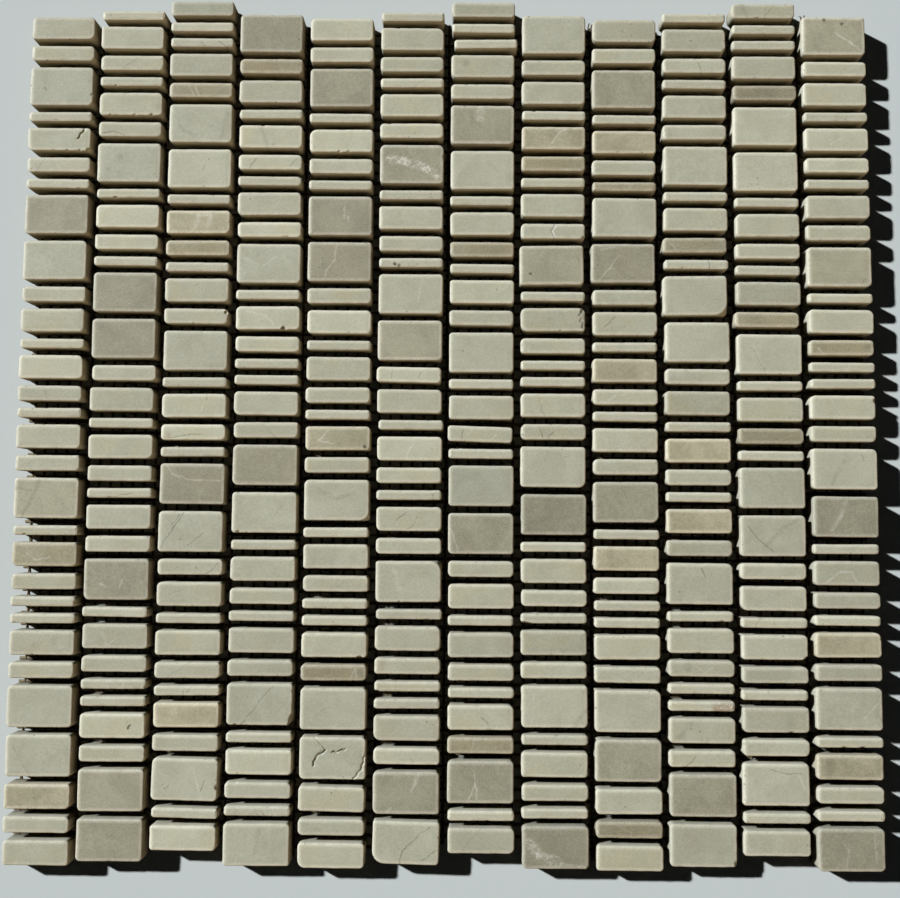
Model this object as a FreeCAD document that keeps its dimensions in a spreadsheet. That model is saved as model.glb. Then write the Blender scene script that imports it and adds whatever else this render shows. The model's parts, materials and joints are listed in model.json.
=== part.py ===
import FreeCAD, Part
import math
import os
import random
import Sketcher

# Mosaic sheet of sawn marble tiles on a backing net, in millimetres.
# The sheet lies flat: X runs across the columns, Y runs up them, Z is up,
# and the origin is at the middle of the sheet, on the surface it lies on.

doc = FreeCAD.newDocument("mosaic_tile_sheet")

# Driving dimensions

SIZES = [
    ("tile_width", 22.9, "every tile, across its column"),
    ("large_length", 14.3, "nearly square tile, along its column"),
    ("medium_length", 8.5, "wide bar, along its column"),
    ("small_length", 5.6, "narrow bar, along its column"),
    ("slim_length", 3.5, "narrowest bar, along its column"),
    ("tile_height", 9.0, "thickness of the stone"),
    ("column_joint", 2.5, "open joint between two columns"),
    ("row_joint", 2.35, "open joint between two tiles of a column"),
    ("corner_cut", 1.1, "worn upright corners of the two longer tiles"),
    ("arris_cut", 0.6, "worn edge round each upper face"),
    ("worn_radius", 4.2, "one large tile whose corner is worn round"),
    ("break_reach", 4.6, "broken corner of one large tile, along each side"),
    ("break_depth", 3.4, "how far down the broken corner goes"),
    ("second_rise", 2.4, "how far the second column of four starts above the first"),
    ("third_rise", 6.2, "the same for the third column"),
    ("fourth_rise", 1.35, "the same for the fourth column"),
    ("column_wander", 0.6, "largest bow of a hand-laid column over its length"),
    ("sheet_skew", 0.4, "sideways lean of the columns at the sheet's ends"),
    ("tile_shift", 0.12, "largest uneven shift of a tile, each way"),
    ("tile_turn", 0.3, "largest uneven turn of a tile, in degrees"),
    ("net_pitch", 4.0, "from one strand of the net to the next"),
    ("strand_width", 1.0, "flat glass strand"),
    ("strand_height", 0.25, "thickness of a strand"),
    ("net_inset", 1.0, "how far the net stays inside the tiles' outer edges"),
]

sheet = doc.addObject("Spreadsheet::Sheet", "sizes")
for row, (alias, value, meaning) in enumerate(SIZES, start=1):
    sheet.set(f"A{row}", alias)
    sheet.set(f"B{row}", str(value))
    sheet.setAlias(f"B{row}", alias)
    sheet.set(f"C{row}", meaning)
doc.recompute()


def size(alias):
    """Value of one driving dimension."""
    return float(sheet.get(alias))


# The laying pattern: one run of tiles, read down a column. Each column of a
# group of four starts the run at another tile, and the group comes three
# times. The first column ends in three tiles of its own.

RUN = "XMSXMSLXMSXLLSMXMSXMSLXMSXXMSLL"
GROUP = [RUN[4:] + "MSM", RUN, RUN[24:] + RUN[:24], RUN[12:] + RUN[:12]]
GROUP_COUNT = 3
LENGTHS = {
    "L": "large_length",
    "M": "medium_length",
    "S": "small_length",
    "X": "slim_length",
}

# The stone of each tile that isn't cream, by column and by row from the top

GREY = {
    1: [8, 18], 2: [12, 13, 22, 30, 31], 3: [19], 4: [1, 18], 5: [3, 8, 9],
    6: [7, 13, 30], 7: [6, 20, 29], 8: [10, 19, 31], 9: [3, 9, 18, 27],
    10: [30], 12: [1, 10, 19, 31],
}
TAN = {
    1: [20, 28], 3: [5, 9, 10, 27], 4: [2], 5: [16, 25], 7: [10, 28],
    8: [5, 6], 9: [5, 7, 13, 20, 29], 10: [10, 17, 20], 11: [5, 13, 17],
    12: [13, 24, 28],
}
WORN_TILE = (6, 31)
BROKEN_TILE = (10, 12)

# Tiles laid visibly off their column's line: how far to the right, in
# millimetres, and how far turned anticlockwise, in degrees

OFF_LINE = {
    (2, 14): (0.45, 0.0),
    (2, 23): (-0.4, -0.3),
    (3, 29): (0.0, -1.4),
    (3, 30): (0.3, -1.2),
    (5, 28): (0.0, -1.1),
    (6, 14): (-0.45, -0.9),
    (6, 16): (0.45, 0.0),
    (6, 23): (0.5, 0.0),
    (6, 31): (0.0, -1.0),
    (7, 3): (0.9, 0.9),
    (7, 17): (-0.4, -1.4),
    (8, 10): (-0.5, 0.5),
    (9, 9): (-0.5, 0.3),
    (10, 10): (-0.5, 0.3),
    (10, 12): (-0.5, 0.6),
    (11, 13): (-0.7, 0.0),
}


def origin_plane(body, role):
    """The origin plane of a body that has the given role."""
    return next(item for item in body.Origin.OriginFeatures if item.Role == role)


def edges_where(feature, test):
    """Names of the edges of a feature whose two ends both pass the test."""
    names = []
    for number, edge in enumerate(feature.Shape.Edges, start=1):
        first, last = edge.Vertexes[0].Point, edge.Vertexes[-1].Point
        if test(first, last):
            names.append(f"Edge{number}")
    return names


def is_upright(first, last):
    return abs(first.x - last.x) < 1e-6 and abs(first.y - last.y) < 1e-6


def outline_sketch(body, name, length_alias):
    """A rectangle centred on the body's origin, tile_width by the given length."""
    sketch = body.newObject("Sketcher::SketchObject", name)
    sketch.AttachmentSupport = [(origin_plane(body, "XY_Plane"), "")]
    sketch.MapMode = "FlatFace"
    half_x, half_y = size("tile_width") / 2, size(length_alias) / 2
    corners = [
        FreeCAD.Vector(-half_x, -half_y, 0),
        FreeCAD.Vector(half_x, -half_y, 0),
        FreeCAD.Vector(half_x, half_y, 0),
        FreeCAD.Vector(-half_x, half_y, 0),
    ]
    for start, end in zip(corners, corners[1:] + corners[:1]):
        sketch.addGeometry(Part.LineSegment(start, end), False)
    for side in range(4):
        sketch.addConstraint(Sketcher.Constraint("Coincident", side, 2, (side + 1) % 4, 1))
    for side in (0, 2):
        sketch.addConstraint(Sketcher.Constraint("Horizontal", side))
    for side in (1, 3):
        sketch.addConstraint(Sketcher.Constraint("Vertical", side))
    sketch.addConstraint(Sketcher.Constraint("Symmetric", 0, 1, 2, 1, -1, 1))
    across = sketch.addConstraint(Sketcher.Constraint("DistanceX", 0, 1, 0, 2, 2 * half_x))
    along = sketch.addConstraint(Sketcher.Constraint("DistanceY", 1, 1, 1, 2, 2 * half_y))
    sketch.setExpression(f"Constraints[{across}]", "sizes.tile_width")
    sketch.setExpression(f"Constraints[{along}]", f"sizes.{length_alias}")
    return sketch


def tile_body(name, length_alias, cut_corners=True, worn_corner=False):
    """One marble tile: a sawn block with worn upright corners and upper edges."""
    body = doc.addObject("PartDesign::Body", name)
    block = body.newObject("PartDesign::Pad", name + "_block")
    block.Profile = outline_sketch(body, name + "_outline", length_alias)
    block.setExpression("Length", "sizes.tile_height")
    doc.recompute()
    last = block
    if worn_corner:
        worn = body.newObject("PartDesign::Fillet", name + "_worn_corner")
        worn.Base = (last, edges_where(last, lambda a, b: is_upright(a, b) and a.x < 0 and a.y < 0))
        worn.setExpression("Radius", "sizes.worn_radius")
        doc.recompute()
        last = worn
    if cut_corners:
        sharp = edges_where(last, lambda a, b: is_upright(a, b) and at_corner(a, length_alias))
        corners = body.newObject("PartDesign::Chamfer", name + "_corners")
        corners.Base = (last, sharp)
        corners.setExpression("Size", "sizes.corner_cut")
        doc.recompute()
        last = corners
    top = size("tile_height") - 1e-6
    arris = body.newObject("PartDesign::Chamfer", name + "_arris")
    arris.Base = (last, edges_where(last, lambda a, b: a.z > top and b.z > top))
    arris.setExpression("Size", "sizes.arris_cut")
    doc.recompute()
    return body


def at_corner(point, length_alias):
    """Whether a point lies on a sharp corner of the tile's outline."""
    beside_x = abs(abs(point.x) - size("tile_width") / 2) < 1e-6
    beside_y = abs(abs(point.y) - size(length_alias) / 2) < 1e-6
    return beside_x and beside_y


# One model of each tile

models = {
    "L": tile_body("large_tile", "large_length"),
    "M": tile_body("medium_tile", "medium_length"),
    "S": tile_body("small_tile", "small_length", cut_corners=False),
    "X": tile_body("slim_tile", "slim_length", cut_corners=False),
}
worn_model = tile_body("worn_large_tile", "large_length", worn_corner=True)

# The broken corner: the large tile less a block that leans across its lower
# right corner. The block's face runs through three points, break_reach from
# the corner along both upper edges and break_depth down the upright one.

reach, depth = size("break_reach"), size("break_depth")
corner = FreeCAD.Vector(size("tile_width") / 2, -size("large_length") / 2, size("tile_height"))
lean = FreeCAD.Rotation(FreeCAD.Vector(0, 0, 1), FreeCAD.Vector(1 / reach, -1 / reach, 1 / depth))
corner_block = doc.addObject("Part::Box", "corner_block")
corner_block.setExpression("Length", "4 * sizes.break_reach")
corner_block.setExpression("Width", "4 * sizes.break_reach")
corner_block.setExpression("Height", "2 * sizes.break_reach")
start = corner - FreeCAD.Vector(0, 0, depth) - lean.multVec(FreeCAD.Vector(2 * reach, 2 * reach, 0))
corner_block.Placement = FreeCAD.Placement(start, lean)
broken_model = doc.addObject("Part::Cut", "broken_large_tile")
broken_model.Base = models["L"]
broken_model.Tool = corner_block
doc.recompute()

# Where the tiles lie

RISES = [0.0, size("second_rise"), size("third_rise"), size("fourth_rise")]
column_count = GROUP_COUNT * len(GROUP)
column_pitch = size("tile_width") + size("column_joint")
net_height = 2 * size("strand_height")


def column_length(run):
    """Length of a column from its first tile's outer edge to its last one's."""
    return sum(size(LENGTHS[kind]) for kind in run) + (len(run) - 1) * size("row_joint")


lowest = min(rise - column_length(run) for rise, run in zip(RISES, GROUP))
first_top = -(max(RISES) + lowest) / 2
half_length = (max(RISES) - lowest) / 2


def column_x(column, y):
    """Centre of a column at a height up the sheet: it leans a little and is bowed."""
    middle = (column - (column_count + 1) / 2) * column_pitch
    up = y / half_length
    bow = -size("column_wander") * math.sin(math.tau * (column - 2.2) / 8)
    return middle - size("sheet_skew") * up + bow * (up * up - 1 / 3)


def tiles_of(column):
    """Row, kind, centre and turn of each tile of a column, from the top."""
    uneven = random.Random(column)
    member = (column - 1) % len(GROUP)
    top = first_top + RISES[member]
    for row, kind in enumerate(GROUP[member], start=1):
        length = size(LENGTHS[kind])
        y = top - length / 2
        shift, twist = OFF_LINE.get((column, row), (0.0, 0.0))
        x = column_x(column, y) + size("tile_shift") * uneven.uniform(-1, 1) + shift
        turn = size("tile_turn") * uneven.uniform(-1, 1) + twist
        yield row, kind, FreeCAD.Vector(x, y, net_height), turn
        top -= length + size("row_joint")


def stone_of(column, row):
    """Name of the stone that a tile is cut from."""
    if row in GREY.get(column, []):
        return "grey"
    if row in TAN.get(column, []):
        return "tan"
    return "cream"


def add_node(label, solids):
    """A document object that holds like pieces as solids that don't touch."""
    node = doc.addObject("Part::Feature", label)
    node.Label = label
    node.Shape = Part.makeCompound(solids)
    node.Placement = FreeCAD.Placement()
    return node


nodes = []
for column in range(1, column_count + 1):
    by_stone = {"cream": [], "grey": [], "tan": []}
    for row, kind, place, turn in tiles_of(column):
        model = models[kind]
        if (column, row) == WORN_TILE:
            model = worn_model
        if (column, row) == BROKEN_TILE:
            model = broken_model
        tile = model.Shape.copy()
        tile.Placement = FreeCAD.Placement(place, FreeCAD.Rotation(FreeCAD.Vector(0, 0, 1), turn))
        by_stone[stone_of(column, row)].append(tile)
    for stone, tiles in by_stone.items():
        if tiles:
            nodes.append(add_node(f"column_{column:02d}_{stone}_tiles", tiles))

# The backing net: flat glass strands in two layers. The lengthwise ones lie
# lowest and the crosswise ones on them, and the tiles are bedded on those.
# The net is trimmed along the sheet's stepped ends, so a strand stops inside
# the end tiles of the columns that it lies under.

strand_half = size("strand_width") / 2
tile_half = size("tile_width") / 2


def middle_lines(low, high):
    """Middle lines of the strands between two limits, at the pitch from zero."""
    first = math.ceil((low + strand_half) / size("net_pitch"))
    last = math.floor((high - strand_half) / size("net_pitch"))
    return [number * size("net_pitch") for number in range(first, last + 1)]


def column_middle(column):
    return (column - (column_count + 1) / 2) * column_pitch


def net_ends(column):
    """Lower and upper end of the net under a column."""
    member = (column - 1) % len(GROUP)
    top = first_top + RISES[member]
    return top - column_length(GROUP[member]) + size("net_inset"), top - size("net_inset")


def columns_beside(x):
    """The column over a lengthwise strand, or both columns where it lies in a joint."""
    reach = tile_half + size("column_joint") - strand_half
    return [column for column in all_columns if abs(x - column_middle(column)) < reach]


def runs_across(y):
    """First and last column of each unbroken run that covers a crosswise strand."""
    covered = []
    for column in all_columns:
        low, high = net_ends(column)
        if low + strand_half <= y <= high - strand_half:
            covered.append(column)
    firsts = [column for column in covered if column - 1 not in covered]
    lasts = [column for column in covered if column + 1 not in covered]
    return zip(firsts, lasts)


all_columns = range(1, column_count + 1)
outer_edge = column_middle(column_count) + tile_half - size("net_inset")
lengthwise = []
for x in middle_lines(-outer_edge, outer_edge):
    low = max(net_ends(column)[0] for column in columns_beside(x))
    high = min(net_ends(column)[1] for column in columns_beside(x))
    corner = FreeCAD.Vector(x - strand_half, low, 0)
    strand = Part.makeBox(size("strand_width"), high - low, size("strand_height"), corner)
    lengthwise.append(strand)

crosswise = []
for y in middle_lines(min(net_ends(c)[0] for c in all_columns), max(net_ends(c)[1] for c in all_columns)):
    for first, last in runs_across(y):
        left = column_middle(first) - tile_half + size("net_inset")
        right = column_middle(last) + tile_half - size("net_inset")
        corner = FreeCAD.Vector(left, y - strand_half, size("strand_height"))
        strand = Part.makeBox(right - left, size("strand_width"), size("strand_height"), corner)
        crosswise.append(strand)

nodes.append(add_node("net_lengthwise_strands", lengthwise))
nodes.append(add_node("net_crosswise_strands", crosswise))
doc.recompute()

# Checks, and one file for each node

for item in doc.Objects:
    if "Invalid" in item.State or "Error" in item.State:
        raise RuntimeError(f"{item.Name} did not build: {item.State}")
for node in nodes:
    if node.Shape.isNull() or not node.Shape.isValid():
        raise RuntimeError(f"{node.Label} has no valid shape")

os.makedirs("parts", exist_ok=True)
for node in nodes:
    node.Shape.exportStep(f"parts/{node.Label}.step")

tile_count = sum(len(node.Shape.Solids) for node in nodes[:-2])
volume = sum(node.Shape.Volume for node in nodes[:-2])
box = FreeCAD.BoundBox()
for node in nodes:
    box.add(node.Shape.BoundBox)
print(f"{len(nodes)} nodes, {tile_count} tiles, {volume / 1000:.1f} cm3 of stone")
print(f"{len(lengthwise)} lengthwise and {len(crosswise)} crosswise strands")
print(f"size {box.XLength:.2f} x {box.YLength:.2f} x {box.ZLength:.2f} mm")
print(f"x {box.XMin:.2f} to {box.XMax:.2f}, y {box.YMin:.2f} to {box.YMax:.2f}")
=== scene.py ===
import json

import bpy
import numpy as np
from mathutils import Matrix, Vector

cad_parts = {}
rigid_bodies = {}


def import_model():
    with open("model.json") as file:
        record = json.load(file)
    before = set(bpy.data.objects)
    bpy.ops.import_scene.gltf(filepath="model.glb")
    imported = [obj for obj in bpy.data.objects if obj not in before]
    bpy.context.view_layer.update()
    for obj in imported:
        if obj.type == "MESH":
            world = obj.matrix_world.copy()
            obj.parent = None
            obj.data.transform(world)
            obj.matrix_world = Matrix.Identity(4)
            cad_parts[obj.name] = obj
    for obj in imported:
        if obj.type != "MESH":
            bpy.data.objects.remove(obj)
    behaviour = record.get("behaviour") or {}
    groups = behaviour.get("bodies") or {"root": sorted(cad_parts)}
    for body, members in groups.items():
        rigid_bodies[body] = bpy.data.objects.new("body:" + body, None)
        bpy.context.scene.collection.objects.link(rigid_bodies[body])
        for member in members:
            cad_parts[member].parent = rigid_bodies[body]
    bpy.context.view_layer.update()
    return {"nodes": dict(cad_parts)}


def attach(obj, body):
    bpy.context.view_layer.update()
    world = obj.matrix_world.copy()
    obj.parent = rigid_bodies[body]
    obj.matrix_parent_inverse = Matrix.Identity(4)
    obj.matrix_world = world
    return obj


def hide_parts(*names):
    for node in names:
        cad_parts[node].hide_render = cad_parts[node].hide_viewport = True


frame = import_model()

# Cream tiles
# Most of the sheet: blocks of pale, close-grained marble, sawn from a slab to
# one width and to one of four lengths. Tumbling has worn their edges and
# corners round. They were laid by hand, and are glued to the net by their backs.

UNDERSIDE_MARGIN = 0.01
CORNER_SIGNS = np.array([[1, 1], [-1, 1], [-1, -1], [1, -1]])


def solids_of(node):
    """Corner points of each solid of a node, in millimetres.

    Triangles that share a corner belong to one solid: every corner takes the
    lowest label found in the triangles round it, until no label changes.
    """
    mesh = frame["nodes"][node].data
    mesh.calc_loop_triangles()
    points = np.empty(3 * len(mesh.vertices))
    mesh.vertices.foreach_get("co", points)
    corners = np.empty(3 * len(mesh.loop_triangles), dtype=np.int32)
    mesh.loop_triangles.foreach_get("vertices", corners)
    points = 1000 * points.reshape(-1, 3)
    places, joined = np.unique(points.round(4), axis=0, return_inverse=True)
    triangles = joined.ravel()[corners].reshape(-1, 3)
    labels = np.arange(len(places))
    changed = True
    while changed:
        lowest = labels.copy()
        np.minimum.at(lowest, triangles, labels[triangles].min(axis=1)[:, None])
        changed = bool((lowest != labels).any())
        labels = lowest
    return [places[labels == label] for label in np.unique(labels)]


def lie_of(points):
    """Turn, centre and half size of a tile, from the outline of its underside.

    The far side is the one that no tile has lost a corner from: its two
    outermost corners give the turn, and the outline turned back gives the rest.
    """
    underside = points[points[:, 2] < points[:, 2].min() + UNDERSIDE_MARGIN, :2]
    far = underside[np.argsort(underside[:, 1])[-2:]]
    far = far[np.argsort(far[:, 0])]
    run, rise = far[1] - far[0]
    turn = np.arctan2(rise, run)
    back = np.array([[np.cos(turn), -np.sin(turn)], [np.sin(turn), np.cos(turn)]])
    square = underside @ back
    low, high = square.min(axis=0), square.max(axis=0)
    return turn, back @ ((low + high) / 2), (high - low) / 2


tile_nodes = sorted(name for name in frame["nodes"] if name.startswith("column_"))
found = []
for name in tile_nodes:
    for points in solids_of(name):
        turn, centre, half = lie_of(points)
        found.append((int(name.split("_")[1]), -centre[1], name, turn, centre, half, points[:, 2]))
found.sort(key=lambda tile: tile[:2])

tile_node = np.array([tile[2] for tile in found])
tile_column = np.array([tile[0] for tile in found])
tile_turn = np.array([tile[3] for tile in found])
tile_centre = np.array([tile[4] for tile in found])
tile_half = np.array([tile[5] for tile in found])
tile_base = min(tile[6].min() for tile in found)
tile_top = max(tile[6].max() for tile in found)
tile_count = len(found)
tile_row = np.array([1 + np.sum(tile_column[:i] == tile_column[i]) for i in range(tile_count)])
tile_at = {(tile_column[i], tile_row[i]): i for i in range(tile_count)}

# How far each tile's edges are worn, in millimetres, and the small chips that
# its rim has, by place along the rim and radius
luck = np.random.default_rng(41)
corner_radius = luck.uniform(0.9, 1.5, (tile_count, 4)) + luck.exponential(0.25, (tile_count, 4))
arris_in = luck.uniform(0.5, 0.7, tile_count)
arris_down = luck.uniform(0.42, 0.58, tile_count)
wave_phase = luck.uniform(0, 2 * np.pi, (tile_count, 4))
wave_size = luck.uniform(0.01, 0.045, (tile_count, 4))
CHIPS = 5
chip_along = luck.uniform(0, 1, (tile_count, CHIPS))
chip_radius = luck.exponential(0.3, (tile_count, CHIPS)) * (luck.random((tile_count, CHIPS)) < 0.7)
chip_radius = np.minimum(chip_radius, 1.2)

# Corners that are worn much rounder than the rest, by column, row and corner
ROUND_CORNERS = {
    (2, 17, 3): 2.4,
    (2, 22, 2): 2.2,
    (6, 28, 2): 2.7,
    (6, 31, 2): 4.2,
    (8, 12, 0): 2.2,
}
for (column, row, corner), radius in ROUND_CORNERS.items():
    corner_radius[tile_at[column, row], corner] = radius
CORNER_SHARE = 0.62
corner_radius = np.minimum(corner_radius, CORNER_SHARE * tile_half[:, 1:])

# Corners whose upper part is broken away, by column, row and corner: how
# round they are at the face
BROKEN_CORNERS = {
    (5, 18, 3): 3.4,
    (6, 22, 0): 4.2,
    (10, 12, 3): 5.2,
}
face_radius = corner_radius.copy()
for (column, row, corner), radius in BROKEN_CORNERS.items():
    face_radius[tile_at[column, row], corner] = radius
ARRIS_SHARE = 0.44
arris_in = np.minimum(arris_in, ARRIS_SHARE * tile_half[:, 1])

# Larger damage: where the ball that takes it out is centred, in millimetres
# from the tile's middle and over its face, and its radius
DAMAGE = {
    (1, 3): [(11.3, -3.1, 0.2, 0.8)],
    (1, 5): [
        (-1.6, -4.5, 0.2, 0.9),
        (3.1, -4.6, 0.2, 1.0),
        (7.5, -4.5, 0.2, 0.95),
        (10.9, -4.3, 0.2, 1.3),
    ],
    (1, 19): [(-7.2, -2.0, 0.3, 1.1)],
    (2, 4): [(-5.7, -2.0, 0.1, 0.9)],
    (2, 5): [
        (-7.3, -4.5, 0.2, 0.95),
        (-4.6, -4.5, 0.2, 0.9),
        (1.4, -4.5, 0.2, 0.95),
        (7.6, -4.5, 0.2, 1.0),
    ],
    (2, 8): [(-4.6, -2.1, 0.1, 1.1)],
    (2, 18): [(11.3, 2.4, 0.3, 1.0)],
    (2, 26): [(12.9, -2.4, 0.4, 2.7)],
    (3, 13): [(11.0, 1.5, 0.3, 1.1)],
    (3, 29): [(11.7, -2.4, 0.3, 1.3)],
    (4, 12): [(5.6, -4.4, 0.1, 1.2)],
    (4, 19): [(-9.0, -7.3, 0.2, 1.1), (-7.7, -7.5, 0.2, 0.9), (-5.9, -7.5, 0.2, 0.9)],
    (4, 26): [(21.5, -8.5, 0.5, 11.9)],
    (5, 5): [(-0.8, -4.5, 0.2, 1.0), (2.6, -4.5, 0.2, 0.95), (9.3, -4.5, 0.2, 0.8)],
    (5, 18): [(9.6, -7.4, 0.2, 1.0)],
    (5, 24): [(8.9, -5.0, 0.3, 1.6)],
    (6, 22): [(-3.0, -7.4, 0.2, 0.9)],
    (6, 26): [(-10.9, -4.2, 0.3, 3.0)],
    (8, 9): [(11.1, -2.7, 0.3, 1.2)],
    (8, 12): [(10.9, 3.4, 0.3, 1.2), (11.7, 0.6, 0.3, 1.0), (11.7, -1.8, 0.3, 0.9)],
    (8, 23): [(-10.4, -6.9, 0.3, 6.0)],
    (9, 11): [(11.6, -3.4, 0.3, 1.2)],
    (10, 12): [(3.2, -7.6, 0.3, 1.0)],
    (10, 29): [(4.6, -3.1, 0.3, 0.9)],
    (10, 31): [(11.5, -6.0, 0.3, 1.3), (8.5, -7.4, 0.3, 0.9)],
    (11, 24): [(12.7, -6.4, 0.4, 4.0)],
    (12, 16): [(11.8, 2.4, 0.3, 1.3)],
}

# Open cracks and gouges: the reach to each side of the line, the depth, and
# the line's points, in millimetres from the tile's middle. These tiles get a
# mesh fine enough to carry them.
GROOVES = {
    (1, 5): [(0.42, 0.5, [(9.1, 3.9), (7.9, 2.0), (6.6, 0.0)])],
    (5, 27): [
        (0.35, 0.3, [(-6.6, 7.6), (-4.6, 5.2), (-2.3, 3.0)]),
        (0.42, 0.7, [(-2.4, 2.6), (-4.4, 1.4), (-5.9, 0.0), (-6.6, -2.6)]),
        (0.38, 0.6, [(-0.2, 2.0), (2.0, 2.3), (4.4, 3.2)]),
        (0.4, 0.5, [(11.4, 2.0), (10.6, -0.8), (10.2, -3.3), (7.5, -6.6)]),
    ],
}

FINE = 0.3
FINE_CHIPPED = 0.36
COARSE = 1.2
PLAIN_RINGS = 3
CHIPPED_RINGS = 7
is_fine = np.array([key in GROOVES for key in zip(tile_column, tile_row)])
is_chipped = np.array([key in DAMAGE or key in GROOVES for key in zip(tile_column, tile_row)])
edge_step = np.where(is_fine, FINE, np.where(is_chipped, FINE_CHIPPED, COARSE))
long_steps = np.round(2 * tile_half[:, 0] / edge_step).astype(int)
short_steps = np.round(2 * tile_half[:, 1] / edge_step).astype(int)
face_rings = np.where(is_chipped, CHIPPED_RINGS, PLAIN_RINGS)
face_rings = np.where(is_fine, np.round(tile_half[:, 1] / FINE), face_rings).astype(int)
tile_kind = np.stack([long_steps, short_steps, face_rings], axis=1)

ARC_STEPS = 6
UNDER_BREAK = 0.2
SIDE_RING_DEPTH = 2.6
ARRIS_ANGLES = np.radians([0, 32, 62, 90])
FACE_SHARES = [0.15, 0.4, 0.75]
FACE_REACH = 3.0
PILLOW = 0.08
WAVE_DEPTH = 2.5
WORN_DEPTH = 0.1


def outline(half, radius, along, across):
    """Rounded rectangle, walked anticlockwise from its right side.

    Each corner is an arc whose centre lies one radius in from both sides, and
    each side is divided evenly between the ends of its two arcs. half is
    (tiles, rings, 2) and radius is (tiles, rings, 4).
    """
    angle = (np.arange(4)[:, None] + np.linspace(0, 1, ARC_STEPS)) * np.pi / 2
    outward = np.stack([np.cos(angle), np.sin(angle)], axis=-1)
    centres = CORNER_SIGNS * (half[..., None, :] - radius[..., None])
    arcs = centres[..., None, :] + radius[..., None, None] * outward
    parts, normals = [], []
    for corner in range(4):
        steps = along if corner % 2 == 0 else across
        share = np.linspace(0, 1, steps + 2)[1:-1, None]
        start = arcs[..., corner, -1:, :]
        end = arcs[..., (corner + 1) % 4, :1, :]
        parts += [arcs[..., corner, :, :], start + (end - start) * share]
        normals += [outward[corner], np.repeat(outward[corner, -1:], steps, axis=0)]
    return np.concatenate(parts, axis=-2), np.concatenate(normals)


def bitten(points, centre, radius):
    """Pushes the points that lie in a ball out to its surface, so that a chip is left."""
    away = points - centre[:, None, None, :]
    distance = np.linalg.norm(away, axis=-1, keepdims=True)
    rough = 0.06 * np.sin(2.3 * points[..., :1] + 1.7 * points[..., 1:2] + 3 * points[..., 2:])
    reach = radius[:, None, None, None] * (1 + rough / np.maximum(radius, 1)[:, None, None, None])
    pushed = centre[:, None, None, :] + away / np.maximum(distance, 1e-6) * reach
    return np.where(distance < reach, pushed, points)


def grooved(points, line, reach, depth):
    """Sinks the face along a line.

    A point goes down by the depth on the line, and by less with the square of
    its distance from it. The distance is to the nearest of the line's straight
    stretches, from the point moved a little by sines, so that the line wanders.
    """
    x, y = points[..., 0], points[..., 1]
    sway = np.stack([np.sin(2.1 * y + 1.3 * x), np.sin(2.6 * x - 1.1 * y)], axis=-1)
    moved = points[..., :2] + 0.2 * sway
    nearest = np.full(x.shape, np.inf)
    for start, end in zip(np.array(line[:-1]), np.array(line[1:])):
        stretch = end - start
        share = np.clip((moved - start) @ stretch / (stretch @ stretch), 0, 1)
        away = moved - start - share[..., None] * stretch
        nearest = np.minimum(nearest, np.linalg.norm(away, axis=-1))
    sunk = points.copy()
    sunk[..., 2] -= depth * np.clip(1 - (nearest / reach) ** 2, 0, 1) * (points[..., 2] > tile_top - 1)
    return sunk


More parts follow.
